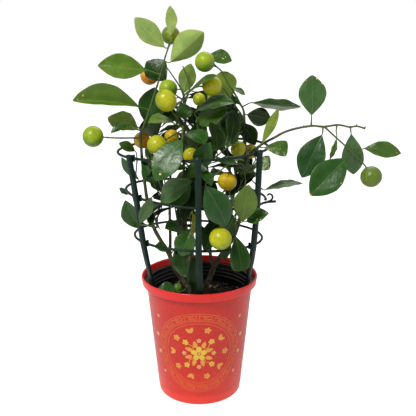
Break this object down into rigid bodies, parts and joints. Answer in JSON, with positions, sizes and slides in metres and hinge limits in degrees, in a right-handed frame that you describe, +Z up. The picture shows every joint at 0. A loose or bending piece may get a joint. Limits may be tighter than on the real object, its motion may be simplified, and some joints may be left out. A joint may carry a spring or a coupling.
{
  "type": "potted citrus tree",
  "caption": "Young calamondin citrus tree with green to gold fruit, held up by a green plastic ring cage, growing in a black liner inside a red tapered pot.",
  "frame": {"origin": "centre of the underside of the red pot, on the surface it stands on", "axes": "+Z up the pot's axis, +X to the right of the plant as seen from its front, +Y from the front of the pot to its back, so the front faces -Y"},
  "size_m": [0.4279, 0.2255, 0.5394],
  "materials": {
    "pot_red": "glossy",
    "liner_black": "satin",
    "soil": "rough",
    "cage_green": "satin",
    "bark": "rough",
    "leaf": "satin",
    "fruit_green": "satin",
    "fruit_lime": "satin",
    "fruit_gold": "satin"
  },
  "bodies": {
    "root": {"arching_branch": "bark", "cage_ring_bottom": "cage_green", "cage_ring_middle": "cage_green", "cage_ring_top": "cage_green", "cage_stake_front": "cage_green", "cage_stake_left": "cage_green", "cage_stake_right": "cage_green", "fork_right": "bark", "fruit_amber": "fruit_gold", "fruit_behind_stake": "fruit_gold", "fruit_centre_yellow": "fruit_gold", "fruit_far_left": "fruit_green", "fruit_far_right": "fruit_green", "fruit_gold": "fruit_gold", "fruit_inside_left": "fruit_lime", "fruit_inside_yellow": "fruit_gold", "fruit_low_front": "fruit_lime", "fruit_orange": "fruit_gold", "fruit_right_inner": "fruit_lime", "fruit_right_rear": "fruit_gold", "fruit_small_low": "fruit_green", "fruit_top": "fruit_green", "fruit_top_right": "fruit_lime", "fruit_upper_left": "fruit_lime", "fruit_upper_left_rear": "fruit_green", "fruit_upper_right": "fruit_lime", "grower_pot": "liner_black", "leaf_arm_hanging": "leaf", "leaf_arm_left": "leaf", "leaf_arm_narrow": "leaf", "leaf_arm_upright": "leaf", "leaf_over_soil": "leaf", "outer_pot": "pot_red", "shoot_arm_foot": "leaf", "shoot_arm_side": "leaf", "shoot_back_left": "leaf", "shoot_back_middle": "leaf", "shoot_back_right": "leaf", "shoot_centre_top": "leaf", "shoot_crown_centre": "leaf", "shoot_crown_rear": "leaf", "shoot_front_centre": "leaf", "shoot_front_left": "leaf", "shoot_front_low": "leaf", "shoot_front_right": "leaf", "shoot_inner_front": "leaf", "shoot_inner_left": "leaf", "shoot_inner_right": "leaf", "shoot_left_low": "leaf", "shoot_left_mid": "leaf", "shoot_low_left": "leaf", "shoot_top_left": "leaf", "shoot_top_right": "leaf", "soil": "soil", "stalk_left": "bark", "stem_back_left": "bark", "stem_back_right": "bark", "stem_centre": "bark", "trunk_left": "bark", "trunk_right": "bark"}
  },
  "joints": []
}
